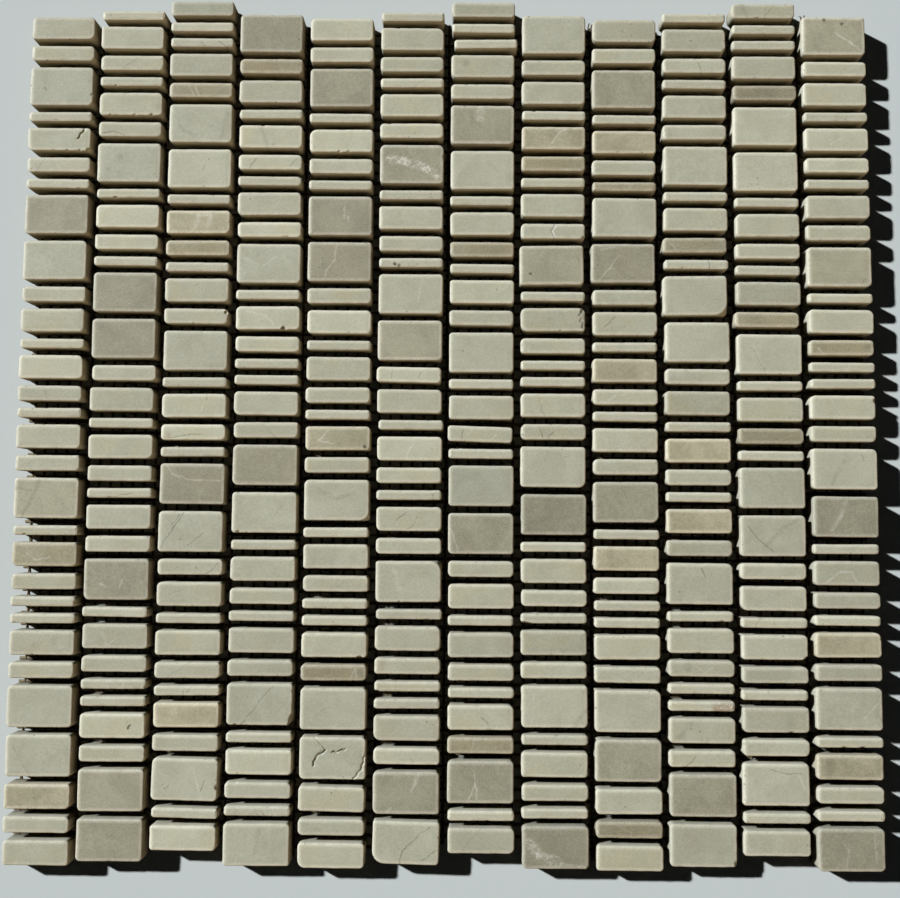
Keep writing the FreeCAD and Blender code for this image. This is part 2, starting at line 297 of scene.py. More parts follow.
def tile_surfaces(which):
    """Points of like tiles as (tiles, rings, round the outline, xyz), in their own frames.

    The rings climb from the underside up the sides, round the worn arris and in
    over the upper face, which crowns slightly. A ring's points stand inside the
    outline by its inset, which comes back too. Sines along the rings make the
    sides wavy and lower the arris, and then the chips and grooves are cut.
    """
    half, radius = tile_half[which], corner_radius[which]
    along, across, rings_in = tile_kind[which[0]]
    none = np.zeros(len(which))
    rings = [(none + UNDER_BREAK, none + tile_base), (none, none + tile_base + UNDER_BREAK)]
    rings += [(none, none + tile_top - SIDE_RING_DEPTH)]
    for angle in ARRIS_ANGLES:
        inset = arris_in[which] * (1 - np.cos(angle))
        rings += [(inset, tile_top - PILLOW - arris_down[which] * (1 - np.sin(angle)))]
    left = half[:, 1] - arris_in[which] - UNDER_BREAK
    if is_fine[which[0]]:
        shares, reach = np.linspace(0, 1, rings_in + 1)[1:], left
    elif is_chipped[which[0]]:
        shares, reach = np.linspace(0, 1, rings_in + 1)[1:], np.minimum(left, FACE_REACH)
    else:
        shares, reach = FACE_SHARES, np.minimum(left, FACE_REACH)
    for share in shares:
        dip = PILLOW * max(0, 1 - share / FACE_SHARES[1]) ** 2
        rings += [(arris_in[which] + share * reach, none + tile_top - dip)]
    inset = np.stack([ring[0] for ring in rings], axis=1)
    height = np.stack([ring[1] for ring in rings], axis=1)
    ring_half = half[:, None, :] - inset[..., None]
    broken = (face_radius[which] - radius)[:, None, :]
    rise = np.clip((height - tile_top) / SIDE_RING_DEPTH + 1, 0, 1)[..., None]
    ring_radius = np.maximum(radius[:, None, :] + broken * rise - inset[..., None], 0.2)
    ring_radius = np.minimum(ring_radius, ring_half[..., 1:])
    flat, outward = outline(ring_half, ring_radius, along, across)
    upright = np.broadcast_to(height[..., None, None], flat.shape[:-1] + (1,))
    points = np.concatenate([flat, upright], axis=-1)

    place = np.linspace(0, 2 * np.pi, flat.shape[2], endpoint=False)
    turns = np.array([2, 3, 7, 13])[:, None] * place + wave_phase[which][..., None]
    wave = np.sum(wave_size[which][..., None] * (1 + np.sin(turns)), axis=1) / 2
    fade = np.clip(1 - inset / WAVE_DEPTH, 0, 1)
    points[..., :2] -= outward * (wave[:, None, :] * fade[..., None])[..., None]
    worn = np.clip((height - tile_top + arris_down[which][:, None]) / arris_down[which][:, None], 0, 1)
    lost = WORN_DEPTH * (np.mean(np.sin(turns[:, 1:]), axis=1) + 0.4)
    edge = (4 * worn * (1 - worn))[..., None]
    points[..., 2] -= np.clip(lost[:, None, :], 0, None) * edge

    rim = points[:, 3]
    for chip in range(CHIPS):
        at = (chip_along[which, chip] * rim.shape[1]).astype(int)
        centre = rim[np.arange(len(which)), at].copy()
        size = chip_radius[which, chip]
        centre[:, :2] += outward[at] * size[:, None] * 0.45
        centre[:, 2] = tile_top + 0.2 * size
        points = bitten(points, centre, size)
    for number, key in enumerate(zip(tile_column[which], tile_row[which])):
        one = slice(number, number + 1)
        for reach, depth, line in GROOVES.get(key, []):
            points[one] = grooved(points[one], line, reach, depth)
        for x, y, above, size in DAMAGE.get(key, []):
            points[one] = bitten(points[one], np.array([[x, y, tile_top + above]]), np.array([size]))
    return points, np.broadcast_to(inset[..., None], points.shape[:-1])


def world_points(points, which):
    """Turns and moves the tiles of a batch to where they lie in the sheet, in metres."""
    cos, sin = np.cos(tile_turn[which]), np.sin(tile_turn[which])
    turn = np.stack([np.stack([cos, sin], axis=-1), np.stack([-sin, cos], axis=-1)], axis=-2)
    placed = points.copy()
    placed[..., :2] = np.einsum("tvui,tij->tvuj", points[..., :2], turn)
    placed[..., :2] += tile_centre[which][:, None, None, :]
    return placed / 1000


def ring_faces(pieces, rings, around):
    """Quads between neighbouring rings, and one face over each open end."""
    ring, step = np.meshgrid(np.arange(rings - 1), np.arange(around), indexing="ij")
    beside = (step + 1) % around
    one = ring * around
    quads = np.stack([one + step, one + beside, one + around + beside, one + around + step], axis=-1)
    first = np.arange(pieces)[:, None, None] * rings * around
    quads = (quads.reshape(1, -1, 4) + first).reshape(-1, 4)
    under = np.arange(around)[::-1] + first[:, 0]
    upper = np.arange(around) + (rings - 1) * around + first[:, 0]
    return quads, np.concatenate([under, upper])


def add_mesh(name, points, face_groups):
    """A mesh object from points and arrays of faces, each array with one number of corners."""
    mesh = bpy.data.meshes.new(name)
    corners = np.concatenate([faces.ravel() for faces in face_groups])
    sizes = np.concatenate([np.full(len(faces), faces.shape[1]) for faces in face_groups])
    mesh.vertices.add(len(points))
    mesh.vertices.foreach_set("co", points.ravel())
    mesh.loops.add(len(corners))
    mesh.loops.foreach_set("vertex_index", corners)
    mesh.polygons.add(len(sizes))
    mesh.polygons.foreach_set("loop_start", np.concatenate([[0], np.cumsum(sizes)[:-1]]))
    mesh.update(calc_edges=True)
    mesh.shade_smooth()
    piece = bpy.data.objects.new(name, mesh)
    bpy.context.scene.collection.objects.link(piece)
    return piece


def add_attribute(piece, name, kind, values):
    """Gives each point of a mesh a number or a vector that its material reads."""
    field = "value" if kind == "FLOAT" else "vector"
    attribute = piece.data.attributes.new(name, kind, "POINT")
    attribute.data.foreach_set(field, np.ascontiguousarray(values, dtype=np.float32).ravel())


# What each tile's stone is like: how light it is, how warm, and where in the
# block it was cut. The bars are a little warmer than the large tiles, and
# some tiles stand out from the rest of their stone, by column and row.
PALER = {
    1: [8, 13], 2: [9, 10, 28, 30], 3: [5, 7, 9, 10, 16, 17, 27, 31], 4: [5, 6, 9, 12, 13, 28],
    5: [1, 5, 11, 30], 6: [5, 6, 12, 13, 14, 17, 29], 7: [12], 8: [6, 10], 10: [17],
    11: [6, 7, 10, 13], 12: [1, 2, 5, 6, 12, 13, 16],
}
DARKER = {
    1: [3, 20], 3: [1, 4], 4: [25], 7: [1, 19, 24, 31], 8: [19, 24, 31], 9: [1, 29],
    10: [2, 15, 21, 25, 28, 31], 11: [1, 5, 12, 17, 25, 27], 12: [19, 21, 22, 25, 26, 28, 31],
}
WARMER = {
    1: [20], 3: [19], 4: [18], 5: [9, 10, 13, 17, 21], 6: [18, 20], 7: [10, 13, 31],
    8: [8, 16, 17, 21, 22, 24], 9: [9], 10: [15], 11: [17],
}
NEARLY_CREAM = {1: [18], 12: [10]}


def listed(rows):
    """Which tiles stand in a list of rows by column."""
    return np.array([row in rows.get(column, []) for column, row in zip(tile_column, tile_row)])


is_large = tile_half[:, 1] > 6
is_tan_bar = np.char.endswith(tile_node, "tan_tiles")
is_wide_tan = is_tan_bar & (tile_half[:, 1] > 3.5)
tone = luck.normal(0, 0.03, tile_count) + 0.11 * listed(PALER) - 0.1 * listed(DARKER)
tone += 0.24 * listed(NEARLY_CREAM) + 0.14 * is_wide_tan - 0.08 * (is_tan_bar & ~is_wide_tan)
warmth = luck.normal(0, 0.35, tile_count) + 1.3 * listed(WARMER)
warmth += np.where(is_tan_bar, 2.2 - 2.4 * is_wide_tan, np.where(is_large, -0.2, 1.25))
block = luck.uniform(-1, 1, (tile_count, 3))

# Veins, cracks and stains that show: each kind's width in millimetres, its
# strength, and its tint from dark at 0 through white at 1 to rust at 2
MARK_SLOTS = 4
MARK_KINDS = {
    "crack": (0.25, 0.6, 0.0),
    "vein": (0.45, 0.36, 1.0),
    "faint": (0.6, 0.2, 1.0),
    "clear": (0.45, 0.7, 1.0),
    "streak": (0.9, 0.27, 0.0),
    "bright": (0.5, 1.3, 1.0),
    "gouge": (0.5, 1.5, 0.0),
    "cloud": (1.19, 0.28, 1.0),
    "shade": (1.1, 0.18, 0.0),
    "smudge": (2.2, 0.25, 0.0),
    "crystal": (2.0, 1.0, 1.0),
    "pit": (0.9, 1.8, 0.0),
    "rust": (2.2, 0.6, 2.0),
    "stain": (2.8, 0.3, 2.0),
    "blush": (3.5, 0.12, 2.0),
}
mark_start = np.zeros((tile_count, MARK_SLOTS, 3))
mark_end = np.zeros((tile_count, MARK_SLOTS, 3))
mark_look = np.zeros((tile_count, MARK_SLOTS, 3))

# About a fifth of the tiles have one fine line, dark or light
line_middle = luck.uniform(-0.6, 0.6, (tile_count, 2)) * tile_half
line_angle = luck.uniform(0.3, 1.3, tile_count) * luck.choice([-1, 1], tile_count)
line_heading = np.stack([np.cos(line_angle), np.sin(line_angle)], axis=1)
line_run = line_heading * luck.uniform(2, 9, (tile_count, 1))
line_light = luck.random(tile_count) < 0.5
has_line = luck.random(tile_count) < 0.22
mark_start[:, 0, :2] = (line_middle - line_run) * has_line[:, None]
mark_end[:, 0, :2] = (line_middle + line_run) * has_line[:, None]
mark_look[:, 0, 0] = 0.25
mark_look[:, 0, 1] = luck.uniform(0.08, 0.3, tile_count) * has_line
mark_look[:, 0, 2] = line_light


def draw_marks(marks):
    """Fills the slots of each marked tile with the straight stretches of its lines."""
    for place, lines in marks.items():
        tile, slot = tile_at[place], 0
        mark_look[tile, :, 1] = 0
        for kind, *points in lines:
            for start, end in zip(points, points[1:] if len(points) > 1 else points):
                mark_start[tile, slot, :2] = start
                mark_end[tile, slot, :2] = np.array(end) + 0.01
                mark_look[tile, slot] = MARK_KINDS[kind]
                slot += 1


def add_tiles(node):
    """The piece that stands for a node: all its tiles in one mesh."""
    tiles = np.flatnonzero(tile_node == node)
    points, lies, insets, quads, caps, owner = [], [], [], [], [], []
    start = 0
    for kind in np.unique(tile_kind[tiles], axis=0):
        which = tiles[(tile_kind[tiles] == kind).all(axis=1)]
        shape, inset = tile_surfaces(which)
        count, rings, around = shape.shape[:3]
        sides, ends = ring_faces(count, rings, around)
        points.append(world_points(shape, which).reshape(-1, 3))
        lies.append(shape.reshape(-1, 3))
        insets.append(inset.ravel())
        owner.append(np.repeat(which, rings * around))
        quads.append(sides + start)
        caps.append(ends + start)
        start += shape[..., 0].size
    name = node.replace("_tiles", "_stone")
    piece = add_mesh(name, np.concatenate(points), [np.concatenate(quads)] + caps)
    owner = np.concatenate(owner)
    lie = np.concatenate(lies) / 1000
    add_attribute(piece, "lie", "FLOAT_VECTOR", lie)
    add_attribute(piece, "block", "FLOAT_VECTOR", lie + block[owner])
    add_attribute(piece, "inset", "FLOAT", np.concatenate(insets))
    add_attribute(piece, "tone", "FLOAT", tone[owner])
    add_attribute(piece, "warmth", "FLOAT", warmth[owner])
    for slot in range(MARK_SLOTS):
        add_attribute(piece, f"mark_start_{slot}", "FLOAT_VECTOR", mark_start[owner, slot] / 1000)
        add_attribute(piece, f"mark_end_{slot}", "FLOAT_VECTOR", mark_end[owner, slot] / 1000)
        add_attribute(piece, f"mark_look_{slot}", "FLOAT_VECTOR", mark_look[owner, slot])
    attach(piece, "root")
    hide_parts(node)
    return piece


class Field:
    """A number, colour or vector that varies over a surface: one output of a material's nodes."""

    def __init__(self, tree, socket):
        self.tree = tree
        self.socket = socket

    def make(self, kind, settings, inputs, output=0):
        """Adds a node: sets its settings, then gives its sockets values or links."""
        node = self.tree.nodes.new(kind)
        for name, value in settings.items():
            setattr(node, name, value)
        for name, value in inputs.items():
            if isinstance(value, Field):
                self.tree.links.new(value.socket, node.inputs[name])
            else:
                node.inputs[name].default_value = value
        return Field(self.tree, node.outputs[output])

    def maths(self, operation, *values):
        return self.make("ShaderNodeMath", {"operation": operation}, dict(enumerate(values)))

    def vector(self, operation, *values, output=0):
        return self.make("ShaderNodeVectorMath", {"operation": operation}, dict(enumerate(values)), output)

    def __add__(self, other):
        return self.maths("ADD", self, other)

    __radd__ = __add__

    def __mul__(self, other):
        return self.maths("MULTIPLY", self, other)

    __rmul__ = __mul__

    def __sub__(self, other):
        return self.maths("SUBTRACT", self, other)

    def __rsub__(self, other):
        return self.maths("SUBTRACT", other, self)

    def __truediv__(self, other):
        return self.maths("DIVIDE", self, other)

    def between(self, low, high):
        """0 below low, 1 above high, and a smooth step in between."""
        settings = {"interpolation_type": "SMOOTHSTEP", "clamp": True}
        return self.make("ShaderNodeMapRange", settings, {"Value": self, "From Min": low, "From Max": high})

    def scaled(self, size):
        """A colour or vector times a number that varies."""
        return self.make("ShaderNodeVectorMath", {"operation": "SCALE"}, {0: self, "Scale": size})

    def parts(self):
        """The three numbers of a vector."""
        node = self.make("ShaderNodeSeparateXYZ", {}, {0: self}).socket.node
        return [Field(self.tree, output) for output in node.outputs]

    def noise(self, scale, detail=3.0, roughness=0.5, distortion=0.0, output=0):
        """Cloudy noise from 0 to 1, with this field as its place."""
        inputs = {"Vector": self, "Scale": scale, "Detail": detail}
        inputs.update({"Roughness": roughness, "Distortion": distortion})
        return self.make("ShaderNodeTexNoise", {}, inputs, output)

    def mixed(self, first, second):
        """Goes from the first colour to the second as this field goes from 0 to 1."""
        return self.make("ShaderNodeMix", {"data_type": "RGBA"}, {0: self, 6: first, 7: second}, 2)


def new_material(name):
    """A principled material, its shader, and a field to start from."""
    material = bpy.data.materials.new(name)
    material.use_nodes = True
    tree = material.node_tree
    return material, tree.nodes["Principled BSDF"], Field(tree, None)


def attribute_of(start, name, vector=True):
    """A mesh attribute as a field."""
    return start.make("ShaderNodeAttribute", {"attribute_name": name}, {}, 1 if vector else 2)


DARK_LINE = (0.115, 0.105, 0.075, 1)
WHITE_VEIN = (0.62, 0.61, 0.54, 1)
RUST = (0.29, 0.195, 0.115, 1)
GLUE = (0.24, 0.19, 0.12, 1)
GLUE_FULL = 0.0012
GLUE_REACH = 0.003
WANDER = 0.0018


def marked(start, colour, place, block):
    """Draws a tile's marks over its colour, and gives back how dark a line lies at each place.

    A mark fades out from the middle line of its straight stretch to its width.
    The place is first moved by noise, so that the line wanders, and noise
    breaks the line up. A wide white mark is broken into lace.
    """
    wander = start.vector("SUBTRACT", block.noise(330, 3, 0.6, output=1), (0.5, 0.5, 0.5))
    x, y, _ = start.vector("MULTIPLY_ADD", wander, (WANDER,) * 3, place).parts()
    flat = start.make("ShaderNodeCombineXYZ", {}, {0: x, 1: y})
    broken = block.noise(300, 2).between(0.3, 0.55) * 0.7 + 0.3
    lace = start.maths("ABSOLUTE", block.noise(420, 4, 0.65, 0.3) - 0.5).between(0.05, 0.01)
    cut = None
    for slot in range(MARK_SLOTS):
        first = attribute_of(start, f"mark_start_{slot}")
        last = attribute_of(start, f"mark_end_{slot}")
        width, strength, tint = attribute_of(start, f"mark_look_{slot}").parts()
        stretch = start.vector("SUBTRACT", last, first)
        from_first = start.vector("SUBTRACT", flat, first)
        share = start.vector("DOT_PRODUCT", from_first, stretch, output=1)
        share = share / start.vector("DOT_PRODUCT", stretch, stretch, output=1)
        share = start.make("ShaderNodeClamp", {}, {0: share})
        away = start.vector("DISTANCE", from_first, stretch.scaled(share), output=1) * 1000
        wide = width.between(1.2, 1.6)
        mark = (1 - away.between(width * 0.25, width)) * strength * broken
        rusty = tint.between(1, 2)
        mark = mark * (1 - wide * (tint.between(0, 1) - rusty) * (1 - lace) * 0.85)
        ink = rusty.mixed(tint.between(0, 1).mixed(DARK_LINE, WHITE_VEIN), RUST)
        colour = mark.mixed(colour, ink)
        depth = mark * (1 - tint.between(0, 1)) * (1 - width.between(0.4, 0.9))
        cut = depth if cut is None else cut + depth
    return colour, cut


def marble(name, light, dark, warm, worn, grain_depth):
    """Honed marble: faint clouds and fine grain, edges pale from tumbling and lightened further as painted
    highlight, marks and pits.

    The clouds mix the light and the dark colour, and the warm colour comes in
    by patches. Depths under the face are in millimetres.
    """
    material, shader, start = new_material(name)
    place = attribute_of(start, "lie")
    block = attribute_of(start, "block")
    clouds = block.noise(85, 3, 0.55, 0.6).between(0.34, 0.68)
    grain = block.noise(1500, 2, 0.7)
    speckle = block.noise(520, 3, 0.6).between(0.33, 0.7)
    colour = (clouds * 0.7 + speckle * 0.35).mixed(light, dark)
    warmth = attribute_of(start, "warmth", False).between(-0.2, 2.2)
    colour = (warmth * (block.noise(60, 3, 0.6, 1.0).between(0.4, 0.68) * 0.6 + 0.1)).mixed(colour, warm)

    # Painted highlight: the sides and the rim of the face are mixed towards the pale worn colour. This is
    # partly the real paleness of tumbled edges and partly the bright rim and glow that light gives marble
    # edges.
    edge = 1 - attribute_of(start, "inset", False).between(0.2, 1.7)
    pale_rim_and_highlight = edge * (block.noise(260, 3, 0.6).between(0.2, 0.7) * 0.3 + 0.57)
    colour = pale_rim_and_highlight.mixed(colour, worn)
    colour, cut = marked(start, colour, place, block)
    pit_cells = block.make("ShaderNodeTexVoronoi", {"feature": "F1"}, {"Vector": block, "Scale": 480})
    pits = (1 - pit_cells.between(0.1, 0.22)) * block.noise(110, 2).between(0.62, 0.7)
    colour = (pits * 0.55).mixed(colour, DARK_LINE)
    _, _, height = place.parts()
    under_face = float(tile_top) - height * 1000
    # Painted shade: dark specks along the arris stand for the shade in chips too small for the mesh.
    arris = under_face.between(0.04, 0.12) * (1 - under_face.between(0.4, 0.9))
    nick_shade = block.noise(620, 3, 0.7).between(0.63, 0.7) * arris
    colour = (nick_shade * 0.55).mixed(colour, DARK_LINE)
    glue = (1 - height.between(GLUE_FULL, GLUE_REACH)) * 0.6
    colour = glue.mixed(colour, GLUE)
    tone = attribute_of(start, "tone", False) + (grain - 0.5) * grain_depth + 1
    colour = colour.scaled(tone)

    side = under_face.between(0.6, 1.9)
    relief = grain * (side + 0.3)
    bump = start.make("ShaderNodeBump", {}, {"Strength": 0.4, "Distance": 0.00007, "Height": relief})
    rough = speckle * 0.08 + cut * 0.2 + pits * 0.2 + side * 0.25 + 0.5
    for socket, value in (("Base Color", colour), ("Normal", bump), ("Roughness", rough)):
        start.tree.links.new(value.socket, shader.inputs[socket])
    shader.inputs["Specular IOR Level"].default_value = 0.4
    return material


def lay_tiles(stone, material, marks):
    """Adds the pieces of one stone, with its marks and its finish."""
    draw_marks(marks)
    for node in tile_nodes:
        if node.endswith(stone + "_tiles"):
            piece = add_tiles(node)
            piece.data.materials.append(material)


CREAM_MARKS = {
    (2, 6): [("crack", (-10.5, -1.5), (-5.5, -1), (-2, -2))],
    (2, 7): [("smudge", (-3.5, 1.5)), ("shade", (-8, -2), (-7, -3))],
    (3, 3): [("crack", (-1, 0), (1, -1)), ("crack", (6, 0.5), (9, -1.5))],
    (3, 6): [("shade", (-7.5, -1), (-6, -3), (-1.5, -4.5)), ("shade", (9.5, 3.5), (7.5, -6))],
    (4, 5): [("shade", (-3.5, 3), (-1, -4))],
    (4, 6): [("crack", (-7.5, -2), (-5, 1.5)), ("crack", (7, -1.5), (9.5, 1.5))],
    (4, 10): [("vein", (-9, 2), (-4, 0)), ("vein", (-2, -1), (2, 2))],
    (6, 11): [("pit", (-6, -0.5)), ("pit", (-4.5, -1))],
    (6, 12): [("vein", (4, 5), (2.5, -3))],
    (7, 4): [("smudge", (-6, 1))],
    (8, 9): [("bright", (0.9, 2.5), (-0.3, 0), (0.7, -3)), ("crack", (0.4, 2.5), (-0.8, 0), (0.2, -3))],
    (10, 3): [("crack", (1.5, 1), (2.5, -2.5))],
    (10, 11): [("crack", (4, 1.5), (4.5, -1.5))],
    (11, 1): [("shade", (-7.5, 2), (-6, -2)), ("crack", (4, 2), (1, -1), (0.5, -2.5))],
    (12, 5): [("vein", (-2, -1.5), (2, 0.5))],
    (3, 16): [("crack", (4.5, 4), (4.5, 2)), ("vein", (3.5, 0), (2.5, -2))],
    (3, 17): [("rust", (-9.5, -1)), ("crack", (-9, -2), (-3, -1), (3, -0.5))],
    (3, 20): [
        ("crack", (-2.5, 6.5), (-5.5, 2), (-10.5, -5.5)),
        ("crack", (-4, 6), (-6.5, 2.5)),
        ("crack", (4.5, -0.5), (-3.5, -6.5)),
    ],
    (3, 21): [("crack", (10, 1.5), (5.5, -2.5))],
    (4, 12): [("vein", (-7.5, 2.5), (-0.5, 0.5), (2.5, -3), (5, -4)), ("pit", (5.5, -3.5))],
    (2, 19): [("crack", (-4, -1.5), (4.5, 0))],
    (5, 18): [("shade", (-6.5, 3.5), (0, 0.5), (6.5, 2.5))],
    (6, 14): [("crack", (-5.5, 1.5), (-6, -1)), ("crack", (4.5, 1), (3.5, -1))],
    (6, 17): [("vein", (2, 3), (0, 0), (-1, -3.5))],
    (6, 19): [("crack", (10, 1), (8.5, 0), (8.5, -1.5))],
    (6, 20): [("crack", (-1, 2.5), (-4.5, -0.5)), ("crack", (3, 1), (1.5, -2.5), (-0.5, -3.5))],
    (7, 17): [
        ("vein", (-2.5, 2), (-4.5, -0.5)),
        ("crack", (-6, 1.5), (-6.5, -2)),
        ("vein", (5.5, 0), (3, -2.5)),
    ],
    (7, 18): [("vein", (-1.5, 1), (0, -1.5))],
    (6, 22): [("cloud", (-4.8, 4.1), (-3.1, -2.5))],
    (8, 12): [
        ("gouge", (9.6, 2.8), (9.1, 1.7)),
        ("gouge", (10, 0.4), (9.7, -0.7)),
        ("gouge", (10.7, -1.2), (10.2, -2.8)),
        ("crack", (11.1, 2.6), (10.5, 1.2)),
    ],
    (8, 17): [("crack", (-5, 2), (-4, -2)), ("crack", (-2, -2), (0, 0))],
    (9, 11): [("crack", (-3.5, 2.5), (-7.5, -1.5))],
    (9, 14): [("vein", (-7.5, -2), (-3.5, 0.5), (0, 1))],
    (12, 14): [("vein", (0, 1), (1.5, -1), (2.5, 0))],
    (12, 18): [("shade", (-0.5, 2.5), (-3, -1.5), (-4.5, -5.5)), ("crack", (6, 5), (6.5, 3))],
    (11, 20): [
        ("crack", (-8.5, 3.3), (-5.3, -1.3), (0, -5.3)),
        ("shade", (9.2, 5.9), (2.6, 2), (-2.6, -3.3)),
    ],
    (12, 21): [("clear", (-8.5, -4), (-2.5, 0.5), (1.5, 0.5), (3, -2.5))],
    (10, 22): [("crack", (0.5, 5.5), (1.5, 2))],
    (1, 24): [("smudge", (-2, -1)), ("smudge", (4, 0.5)), ("vein", (6, -2), (7.5, -1))],
    (2, 24): [("vein", (-4.5, 1), (-2.5, -3), (-0.5, -1.5))],
    (2, 26): [("vein", (3.5, 1), (3, -1))],
    (2, 28): [("gouge", (5.4, -0.9), (6.3, 0.2))],
    (3, 26): [("crack", (-1.7, -0.8), (-1.1, 0.2)), ("crack", (-0.2, -0.6), (0.7, 0.6))],
    (3, 29): [("vein", (2.5, 4), (4.5, -1.5), (6, -7)), ("crack", (7, 0), (5.5, -4))],
    (4, 26): [("crack", (4.5, 6.5), (0, 1), (-2.5, -2.5), (-7, -7.5))],
    (4, 30): [("crack", (-1, 0), (0.5, -2)), ("crack", (1, 0), (3, -2))],
    (4, 31): [("shade", (1, 5.5), (-0.5, -3))],
    (6, 25): [("stain", (-8.5, 0.5))],
    (6, 31): [("crack", (8.5, 6), (4.5, 3), (-1, -2.5), (-2, -7)), ("crack", (11, -2), (5.5, -5.5))],
    (7, 23): [("vein", (-2, 1), (-3, -2)), ("vein", (0, 1), (-0.5, -1.5))],
    (7, 27): [("crack", (0, 0), (2.5, -1.5), (3.5, -4.5))],
    (8, 26): [("vein", (-7, 4), (-8, -5.5)), ("shade", (11.5, -1), (8.5, -4), (6, -8))],
    (10, 25): [("vein", (-2, 1), (3, -2.5)), ("vein", (4.5, 1.5), (0.5, -2)), ("smudge", (-5, 0.5))],
    (10, 27): [
        ("rust", (5, -0.5), (11, -0.5)),
        ("rust", (7, 0), (11, 0)),
        ("crystal", (6, 0.5), (11, -0.5)),
    ],
    (10, 28): [("shade", (-4, 2.5), (-8, -2.5))],
    (10, 29): [("crack", (-2, 1), (-6, -2.5))],
    (10, 31): [("blush", (-6, 3), (-3, 0))],
    (11, 29): [("crack", (-2, 5), (3.5, 3.6), (9, 4)), ("vein", (7.5, 4), (9.5, -1.5))],
    (11, 30): [("vein", (-4.5, -2), (-0.5, 0))],
    (12, 26): [("vein", (10, 2.5), (5, -3))],
}

cream = marble(
    "cream_marble",
    light=(0.446, 0.454, 0.363, 1),
    dark=(0.378, 0.382, 0.296, 1),
    warm=(0.45, 0.42, 0.285, 1),
    # worn: pale edge colour, partly wear and partly painted highlight
    worn=(0.66, 0.64, 0.52, 1),
    grain_depth=0.5,
)
lay_tiles("cream", cream, CREAM_MARKS)

# Grey tiles
# The same marble from a greyer bed of the quarry, in large and middle sizes.
# Some are crossed by white veins of crystal.

GREY_MARKS = {
    (5, 8): [("vein", (1.5, 3), (1.5, -1)), ("vein", (2.5, 0), (3, -2))],
    (5, 9): [("vein", (-1, 6), (-2, 0), (-4.5, -3), (-5.5, -6.5))],
    (6, 7): [("crystal", (-8, 2), (-2, 1), (4, -1), (9, -4))],
    (7, 6): [("crystal", (-0.5, 6), (-1, 2)), ("shade", (-4, 5), (-4, 0))],
    (8, 10): [("pit", (-7.5, -3))],
    (9, 9): [("vein", (-1.5, 3), (-4.5, -1.5), (-8.5, -6)), ("vein", (-3, 6), (-8, 5))],
    (12, 1): [("pit", (-3.5, 6)), ("pit", (3, 4.5)), ("vein", (1, 1), (6.5, -3), (10.5, -6))],
    (1, 18): [
        ("streak", (-2.5, 6), (-5, 0), (-8.3, -6.5)),
        ("streak", (-11, 3.5), (-5.5, 2.5)),
        ("shade", (3, 1), (6, -2)),
    ],
    (3, 19): [("vein", (-9, 6), (-7, 3.5), (-2, 1.5), (3.5, 1.5), (10, 1))],
    (2, 22): [("vein", (-5.5, -1.5), (-3, -3)), ("vein", (2, 0), (1, -3))],
    (7, 20): [("vein", (-10.5, 2), (-8, -6))],
    (6, 30): [("cloud", (4.4, 6.5), (3, 3)), ("vein", (3, 4), (2, 0.5)), ("vein", (-5, -5), (-7, -7))],
    (7, 29): [("vein", (-2, 4), (-1, -7)), ("vein", (-1.5, -0.5), (-4.5, -7))],
    (8, 31): [
        ("crystal", (-9.5, 2), (-5.5, -2.5), (1, -5.5)),
        ("vein", (-6, -2), (1, -3)),
        ("vein", (2, -5.5), (10, -6)),
    ],
    (12, 19): [("cloud", (0.2, 5.5), (-2, 0), (-5, -4.8))],
    (12, 31): [("faint", (-4.5, 4.5), (-1, 0), (-2, -5.5)), ("faint", (7.5, 5), (8.5, -3))],
}

grey = marble(
    "grey_marble",
    light=(0.339, 0.33, 0.246, 1),
    dark=(0.267, 0.258, 0.19, 1),
    warm=(0.325, 0.29, 0.205, 1),
    # worn: pale edge colour, partly wear and partly painted highlight
    worn=(0.58, 0.56, 0.46, 1),
    grain_depth=0.75,
)
lay_tiles("grey", grey, GREY_MARKS)

# Tan tiles
# Bars of the same marble from a brown bed, most of them clouded with cream
# and some with thin white veins.

TAN_MARKS = {
    (3, 5): [("vein", (-4.5, 1.5), (-2.5, -2)), ("vein", (-2, 1), (-0.5, -2))],
    (3, 9): [("cloud", (-1.9, -2.4), (0.1, 2.3), (4.1, 2.9)), ("cloud", (4.5, 2), (3, -1.5))],
    (8, 5): [("vein", (4.5, 3.5), (1.5, 1.5), (-0.5, -2))],
    (10, 10): [("vein", (-9, 1), (-6, -2.5))],
    (1, 20): [("vein", (-6.5, 0), (-3, -2), (2.5, -1))],
    (5, 16): [("vein", (-3.5, 2.5), (-7, -1)), ("vein", (-6.5, -1), (-1.5, -2)), ("pit", (9.5, -3))],
    (12, 13): [("vein", (-8.5, 0), (-7.5, -1)), ("smudge", (8.5, 0.5))],
    (5, 25): [("vein", (7.5, 1), (5.5, -3)), ("vein", (7.5, 1), (8.5, -2.5))],
    (7, 28): [("vein", (-2.5, 2), (-3, -3))],
    (1, 28): [("smudge", (-3.5, -0.5)), ("smudge", (0, 0))],
    (9, 30): [("vein", (5, 2), (7, -2))],
    (12, 28): [("smudge", (-7, 2), (-7, -3))],
}

tan = marble(
    "tan_marble",
    light=(0.37, 0.35, 0.251, 1),
    dark=(0.27, 0.252, 0.172, 1),
    warm=(0.325, 0.275, 0.17, 1),
    # worn: pale edge colour, partly wear and partly painted highlight
    worn=(0.6, 0.56, 0.435, 1),
    grain_depth=0.8,
)
lay_tiles("tan", tan, TAN_MARKS)

# Backing net
# Stiff net of resin-coated glass-fibre yarn: flat yarns run across, and the
# yarns of each lengthwise pair twist round each other between them. It was
# pressed on to the tiles' backs and cut to the stepped ends of the columns.

YARN_HALF_WIDTH = 0.25
YARN_HALF_THICKNESS = 0.08
TWIST_ACROSS = 0.25
TWIST_UP = 0.15
RIBBON_HALF_WIDTH = 0.5
RIBBON_HALF_THICKNESS = 0.07
CUT_END = 0.3

